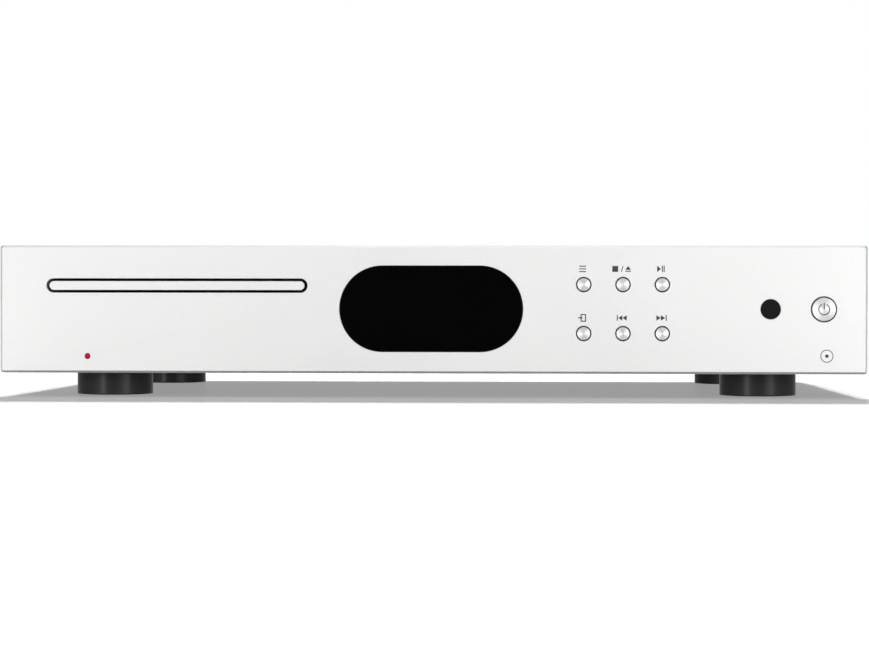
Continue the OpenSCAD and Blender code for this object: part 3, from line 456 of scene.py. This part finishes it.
def make_fascia():
    tray = middle("tray_trim")
    window = middle("display_window")
    window_low, window_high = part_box("display_window")
    sensor = middle("sensor_window")
    lamp = middle("lamp_lens")
    power = middle("power_button")
    holes = [pill(tray.x, tray.z, SLOT_W, SLOT_H),
             pill(window.x, window.z, window_high.x - window_low.x + 2 * PANE_GAP,
                  window_high.z - window_low.z + 2 * PANE_GAP),
             ring(sensor.x, sensor.z, SENSOR_D / 2),
             ring(lamp.x, lamp.z, LAMP_D / 2, 48),
             ring(power.x, power.z, POWER_HOLE_D / 2)]
    holes += [ring(middle(key).x, middle(key).z, KEY_HOLE_D / 2, 72) for key in KEYS]
    outer = arc_corners(PANEL_MID.x, PANEL_MID.z, PANEL_W, PANEL_H, CORNER_R, 10)
    mesh = front_plate("fascia_plate", outer, holes, PANEL_FRONT, PANEL_BACK, HOLE_EDGE, 0)
    cut_chamfer(mesh, PANEL_MID, PANEL_W, PANEL_H, CORNER_R, CHAMFER)
    plate = add_piece("fascia_plate", mesh, "case", "panel_aluminium", replaces=("fascia",))
    plate.data.materials.append(MATERIALS["edge_aluminium"])


def make_windows():
    window = middle("display_window")
    low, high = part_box("display_window")
    outline = pill(window.x, window.z, high.x - low.x, high.z - low.z)
    mesh = front_plate("window_pane", outline, [], low.y, high.y, 0.3 * MM)
    add_piece("window_pane", mesh, "case", "window_black", replaces=("display_window",))
    low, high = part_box("sensor_window")
    centre = middle("sensor_window")
    mesh = turned(round_over((high.x - low.x) / 2, low.y, high.y, 0.3 * MM), centre)
    add_piece("sensor_pane", mesh, "case", "window_black", MATERIALS["sensor_grey"],
              ("sensor_window",))
    low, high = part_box("lamp_lens")
    centre = middle("lamp_lens")
    mesh = turned(round_over(LAMP_D / 2 - 0.05 * MM, low.y, high.y, 0.7 * MM, 6), centre, count=48)
    add_piece("lamp_dome", mesh, "case", "lamp_red", replaces=("lamp_lens",))


def cap_profile(r, y_face, y_back, collar_r, collar_y, stem_r, stem_y):
    """Button: a flat turned face in rings, a rounded rim, a collar and a stem."""
    edge = 0.35 * MM
    face_r = r - edge - 0.15 * MM
    rings = 8
    profile = [(face_r * k / rings, y_face) for k in range(rings + 1)]
    for k in range(5):
        a = math.pi / 2 * k / 4
        profile.append((r - edge + edge * math.sin(a), y_face + edge - edge * math.cos(a)))
    return profile + [(r, collar_y), (collar_r, collar_y), (collar_r, y_back), (stem_r, y_back),
                      (stem_r, stem_y), (0, stem_y)]


def make_button(node, r, collar_r, stem_r):
    low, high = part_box(node)
    centre = middle(node)
    collar_y = PANEL_BACK + 0.1 * MM
    profile = cap_profile(r, low.y, collar_y + 1 * MM, collar_r, collar_y, stem_r, high.y)
    mesh = turned(profile, centre)
    material = spun_metal(node + "_face", centre)
    add_piece(node + "_cap", mesh, node, "turned_aluminium", material, replaces=(node,))


# ---------------------------------------------------------------- printed symbols

PRINT_T = 0.03 * MM
BAR = 0.52                        # stroke of the symbols, in millimetres
SYMBOL_RISE = 8.0 * MM            # from a key's centre up to its symbol
SYMBOL_SHIFT = -0.6 * MM


def prism(bm, points, y_front, y_back):
    """Adds an extruded outline, given as (x, z) points."""
    front = [bm.verts.new((x, y_front, z)) for x, z in points]
    back = [bm.verts.new((x, y_back, z)) for x, z in points]
    bm.faces.new(front)
    bm.faces.new(back[::-1])
    count = len(points)
    for i in range(count):
        j = (i + 1) % count
        bm.faces.new((front[i], back[i], back[j], front[j]))


def print_symbol(name, outlines, y_face, body="case"):
    """Ink on a face: every outline is raised by the thickness of the print."""
    bm = bmesh.new()
    for points in outlines:
        prism(bm, points, y_face - PRINT_T, y_face + PRINT_T)
    bmesh.ops.recalc_face_normals(bm, faces=bm.faces)
    mesh = bpy.data.meshes.new(name)
    bm.to_mesh(mesh)
    bm.free()
    return add_piece(name, mesh, body, None, MATERIALS["print_grey"])


def oblong(x, z, w, h):
    left, right, bottom, top = x - w / 2, x + w / 2, z - h / 2, z + h / 2
    return [(left, bottom), (right, bottom), (right, top), (left, top)]


def slanted(x0, z0, x1, z1, t):
    """A stroke of thickness t between two points."""
    length = math.hypot(x1 - x0, z1 - z0)
    nx, nz = -(z1 - z0) / length * t / 2, (x1 - x0) / length * t / 2
    return [(x0 + nx, z0 + nz), (x0 - nx, z0 - nz), (x1 - nx, z1 - nz), (x1 + nx, z1 + nz)]


def arrowhead(x, z, w, h, way=1):
    """A solid triangle whose point faces +X, or -X when way is -1."""
    return [(x - way * w / 2, z - h / 2), (x + way * w / 2, z), (x - way * w / 2, z + h / 2)]


def symbol_outlines():
    """Outlines of each key's symbol around its own centre, in millimetres."""
    menu = [oblong(0, z, 3.4, BAR) for z in (-1.37, 0, 1.37)]
    stop_eject = [oblong(-3.4, 0, 3.0, 3.0), slanted(-0.26, -1.5, 0.6, 1.5, BAR - 0.1),
                  [(1.8, -0.5), (4.6, -0.5), (3.2, 1.5)], oblong(3.2, -1.2, 2.8, BAR)]
    play_pause = [arrowhead(-1.1, 0, 1.94, 3.3), oblong(0.6, 0, BAR, 3.3),
                  oblong(1.5, 0, BAR, 3.3)]
    entry = [oblong(0.4, 1.7, 2.73, BAR), oblong(0.4, -1.7, 2.73, BAR), oblong(1.5, 0, BAR, 3.9),
             oblong(-0.7, 1.3, BAR, 1.2), oblong(-0.7, -1.3, BAR, 1.2),
             oblong(-1.6, 0, 1.3, BAR), arrowhead(-0.45, 0, 1.3, 1.8)]
    previous = [oblong(-2.3, 0, BAR, 2.9), arrowhead(-0.75, 0, 2.1, 2.7, -1),
                arrowhead(1.45, 0, 2.1, 2.7, -1)]
    following = [arrowhead(-1.3, 0, 2.2, 2.7), arrowhead(0.95, 0, 2.2, 2.7),
                 oblong(2.6, 0, BAR, 2.9)]
    return dict(zip(KEYS, (menu, stop_eject, play_pause, entry, previous, following)))


def make_symbols():
    for key, outlines in symbol_outlines().items():
        centre = middle(key)
        x0, z0 = centre.x + SYMBOL_SHIFT, centre.z + SYMBOL_RISE
        placed = [[(x0 + x * MM, z0 + z * MM) for x, z in points] for points in outlines]
        print_symbol("symbol_" + key.removeprefix("button_"), placed, PANEL_FRONT)


def band(x, z, r, t, start, end, count=40):
    """An arc-shaped stroke from angle start to end, in degrees, as short quads."""
    quads = []
    for i in range(count):
        a, b = (math.radians(start + (end - start) * k / count) for k in (i, i + 1))
        quads.append([(x + s * math.cos(c), z + s * math.sin(c))
                      for s, c in ((r - t / 2, a), (r + t / 2, a), (r + t / 2, b), (r - t / 2, b))])
    return quads


def make_disc_mark():
    """A plain disc, a ring with a dot in it, low on the panel's right."""
    strokes = band(DISC_MARK_X, DISC_MARK_Z, 3.1 * MM, 0.4 * MM, 0, 360)
    strokes.append(ring(DISC_MARK_X, DISC_MARK_Z, 0.9 * MM, 24))
    print_symbol("symbol_disc", strokes, PANEL_FRONT)


def frame_line(x0, x1, z0, z1, r, t):
    """A thin rectangle with round corners, as short quads."""
    x, z, w, h = (x0 + x1) / 2, (z0 + z1) / 2, x1 - x0, z1 - z0
    outer = arc_corners(x, z, w, h, r, 6)
    inner = arc_corners(x, z, w - 2 * t, h - 2 * t, r - t, 6)
    count = len(outer)
    following = [(i + 1) % count for i in range(count)]
    return [[outer[i], outer[j], inner[j], inner[i]] for i, j in enumerate(following)]


def make_rear_print():
    """Thin frames that group the sockets on the rear panel."""
    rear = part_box("rear_panel")[1].y
    z = middle("coax_socket").z
    half_height, corner, stroke = 12 * MM, 2 * MM, 0.4 * MM
    groups = {("trigger_jacks",): 4 * MM, ("usb_socket", "optical_socket", "coax_socket"): 6 * MM}
    strokes = []
    for sockets, margin in groups.items():
        lows, highs = zip(*[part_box(node) for node in sockets])
        left = min(low.x for low in lows) - margin
        right = max(high.x for high in highs) + margin
        strokes += frame_line(left, right, z - half_height, z + half_height, corner, stroke)
    print_symbol("rear_frames", strokes, rear)


def make_power_symbol():
    centre = middle("power_button")
    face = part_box("power_button")[0].y
    strokes = band(centre.x, centre.z, 2.75 * MM, 0.52 * MM, 115, 425)
    strokes.append(oblong(centre.x, centre.z + 1.5 * MM, 0.52 * MM, 3.6 * MM))
    print_symbol("symbol_power", strokes, face, "power_button")


make_fascia()
make_windows()
for key in KEYS:
    make_button(key, KEY_D / 2, KEY_HOLE_D / 2 + 1 * MM, 2 * MM)
make_button("power_button", POWER_D / 2, POWER_HOLE_D / 2 + 1.5 * MM, 2.5 * MM)
make_symbols()
make_power_symbol()
make_disc_mark()
make_rear_print()


# ---------------------------------------------------------------- feet and case

def make_foot(node):
    """A drum with a screw hole, a counterbore, a recess for its pad and rounded edges."""
    low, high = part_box(node)
    centre = middle(node)
    r = (high.x - low.x) / 2
    hole_r, bore_r, pad_r = 2.1 * MM, 4.6 * MM, r - 3 * MM
    bore_top, pad_top = 7 * MM, 1.2 * MM
    edge, top_edge, steps = 0.5 * MM, 0.6 * MM, 5
    profile = [(hole_r, high.z), (hole_r, bore_top), (bore_r, bore_top), (bore_r, pad_top),
               (pad_r, pad_top), (pad_r, low.z), (r - edge, low.z)]
    for k in range(1, steps + 1):
        a = math.pi / 2 * k / steps
        profile.append((r - edge + edge * math.sin(a), low.z + edge - edge * math.cos(a)))
    profile += [(r, high.z - top_edge), (r - top_edge, high.z), (hole_r, high.z)]
    mesh = turned(profile, centre, "Z", 128)
    return add_piece(node + "_shell", mesh, "case", "foot_plastic", replaces=(node,))


feet = [make_foot(node) for node in ("foot_front_left", "foot_front_right",
                                     "foot_rear_left", "foot_rear_right")]

soften("top_cover", 0.5 * MM)
soften("rear_panel", 0.15 * MM)
soften("bottom_pan", 0.2 * MM)
soften("tray", 0.3 * MM)
soften("tray_trim", 0.3 * MM, steps=3)
for node in ("mains_inlet", "fuse_drawer", "mains_switch", "mains_rocker", "optical_socket",
             "usb_socket", "trigger_jacks", "coax_socket", "case_screws", "loader_frame",
             "clamp_bridge"):
    soften(node, 0.15 * MM)


# ---------------------------------------------------------------- camera, light and floor

def make_camera():
    """Stands in front, slightly right of centre, just below the panel's middle height."""
    distance = 1.3142
    yaw, pitch, roll = math.radians(-2.325), math.radians(-0.392), math.radians(0.076)
    level = math.cos(pitch)
    forward = Vector((math.sin(yaw) * level, math.cos(yaw) * level, math.sin(pitch)))
    right = Vector((math.cos(yaw), -math.sin(yaw), 0))
    up = right.cross(forward)
    right_rolled = right * math.cos(roll) + up * math.sin(roll)
    up_rolled = up * math.cos(roll) - right * math.sin(roll)
    data = bpy.data.cameras.new("camera")
    data.sensor_width = 36
    data.lens = 106.5
    data.clip_end = 100
    camera = bpy.data.objects.new("camera", data)
    rotation = Matrix((right_rolled, up_rolled, -forward)).transposed().to_4x4()
    place = Matrix.Translation((0.05514, PANEL_FRONT - distance, 0.04573))
    camera.matrix_world = place @ rotation
    bpy.context.scene.collection.objects.link(camera)
    bpy.context.scene.camera = camera


def link_light(light, objects, state="INCLUDE"):
    """Limits a light to some objects, or keeps it off them."""
    if objects:
        linked = bpy.data.collections.new(light.name + "_objects")
        for item in objects:
            linked.objects.link(item)
        for entry in linked.collection_objects:
            entry.light_linking.link_state = state
        light.light_linking.receiver_collection = linked


def area_light(name, place, target, width, height, power, receivers=(), avoids=()):
    data = bpy.data.lights.new(name, "AREA")
    data.shape = "RECTANGLE"
    data.size = width
    data.size_y = height
    data.energy = power
    light = bpy.data.objects.new(name, data)
    light.location = place
    light.rotation_euler = (Vector(target) - Vector(place)).to_track_quat("-Z", "Y").to_euler()
    light.visible_camera = False
    bpy.context.scene.collection.objects.link(light)
    link_light(light, receivers)
    link_light(light, avoids, "EXCLUDE")


def sun(name, energy, receivers=()):
    """A broad sun, high behind the player, which drops its shadow forwards on the floor."""
    data = bpy.data.lights.new(name, "SUN")
    data.energy = energy
    data.angle = math.radians(14)
    light = bpy.data.objects.new(name, data)
    forward_and_down = Vector((0, -1, -1))
    light.rotation_euler = forward_and_down.to_track_quat("-Z", "Y").to_euler()
    bpy.context.scene.collection.objects.link(light)
    link_light(light, receivers)


def make_floor():
    """White paper that glows a little, so that shadows on it stay light."""
    reach = 40
    corners = [(-reach, -reach, 0), (reach, -reach, 0), (reach, reach, 0), (-reach, reach, 0)]
    mesh = bpy.data.meshes.new("floor")
    mesh.from_pydata(corners, [], [(0, 1, 2, 3)])
    floor = bpy.data.objects.new("floor", mesh)
    bpy.context.scene.collection.objects.link(floor)
    s = Shader("floor_paper", (0.30, 0.30, 0.30), 0.0, 0.7, Specular_IOR_Level=0.0)
    s.set(s.bsdf, "Emission Color", (1, 1, 1, 1))
    s.set(s.bsdf, "Emission Strength", 0.315)
    s.tint(s.noise(3.0), 0.99, 1.01)
    gloss = s.add("ShaderNodeBsdfGlossy")
    s.set(gloss, "Roughness", 0.2)
    mix = s.add("ShaderNodeMixShader")
    s.set(mix, "Fac", 0.12)
    s.link(s.bsdf.outputs["BSDF"], mix.inputs[1])
    s.link(gloss.outputs["BSDF"], mix.inputs[2])
    s.link(mix.outputs["Shader"], s.tree.nodes["Material Output"].inputs["Surface"])
    wear(floor, s.mat)
    floor.visible_glossy = False
    return floor


def make_studio():
    """White backdrop. What lights the player is a bright band at its own height, with a dark
    gap in front of it, so that black glass stays black."""
    world = bpy.data.worlds.new("studio")
    world.use_nodes = True
    s = Nodes(world.node_tree)
    background = s.tree.nodes["Background"]
    s.set(background, "Color", (1, 1, 1, 1))
    where = s.add("ShaderNodeTexCoord").outputs["Generated"]
    parts = s.add("ShaderNodeSeparateXYZ")
    s.link(where, parts.inputs["Vector"])
    height = parts.outputs["Z"]
    above = s.ramp(height, 1.0, 0.25, 0.15, 0.5, smooth=True)
    below = s.ramp(height, 0.10, 1.0, -0.75, -0.35, smooth=True)
    front = s.ramp(parts.outputs["Y"], 2.53, 0.5, -0.85, -0.4, smooth=True)
    gap = s.ramp(parts.outputs["Y"], 0.02, 1.0, -0.975, -0.90, smooth=True)
    band = s.maths("MULTIPLY", s.maths("MULTIPLY", above, below), s.maths("MULTIPLY", front, gap))
    seen = s.add("ShaderNodeLightPath").outputs["Is Camera Ray"]
    s.link(s.maths("MAXIMUM", band, seen), background.inputs["Strength"])
    bpy.context.scene.world = world
    bpy.context.scene.view_settings.view_transform = "Standard"


make_camera()
floor = make_floor()
make_studio()
sun("key", 2.4)
sun("floor_key", 8.0, [floor])
area_light("overhead", (0, -0.2, 1.8), (0, -0.2, 0), 1.4, 1.4, 9)
flats = [nodes["top_cover"], floor]
front, front_foot = (0, -0.15, 0.04), (0.16, -0.15, 0)
area_light("strip_left", (-0.95, -1.75, 0.25), front, 0.25, 0.9, 2.5, avoids=flats)
area_light("strip_right", (0.85, -1.45, 0.25), front, 0.25, 0.9, 4.8, avoids=flats)
area_light("foot_strip_left", (-1.05, -1.75, 0), front_foot, 0.08, 0.7, 23, feet)
area_light("foot_strip_right", (1.35, -1.55, 0), front_foot, 0.08, 0.7, 18, feet)
